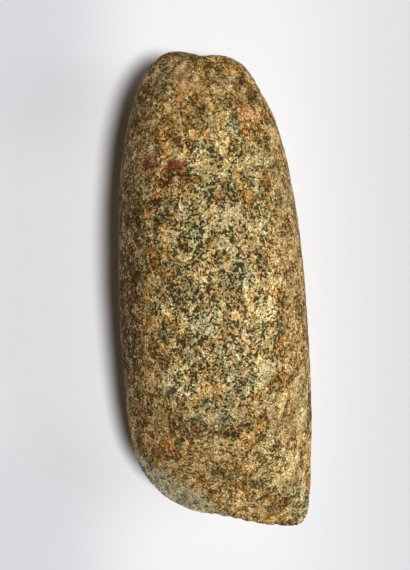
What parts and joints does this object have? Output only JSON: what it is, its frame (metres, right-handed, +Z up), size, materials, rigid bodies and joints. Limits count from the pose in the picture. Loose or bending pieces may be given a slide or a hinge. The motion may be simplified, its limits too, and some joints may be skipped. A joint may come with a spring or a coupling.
{
  "type": "polished stone axe head",
  "caption": "Thick stone axe head with a blunt battered poll and an oblique ground cutting edge, lying on its broad face.",
  "frame": {"origin": "middle of the head's box, on the surface that it lies on", "axes": "+Y from the cutting edge to the poll, +Z up out of the broad face, +X to the toe side of the cutting edge"},
  "size_m": [0.0674, 0.165, 0.046],
  "materials": {
    "granite": "pecked and ground speckled granite, dull, smoother along the cutting edge"
  },
  "bodies": {
    "root": {"axe_head": "granite"}
  },
  "joints": []
}
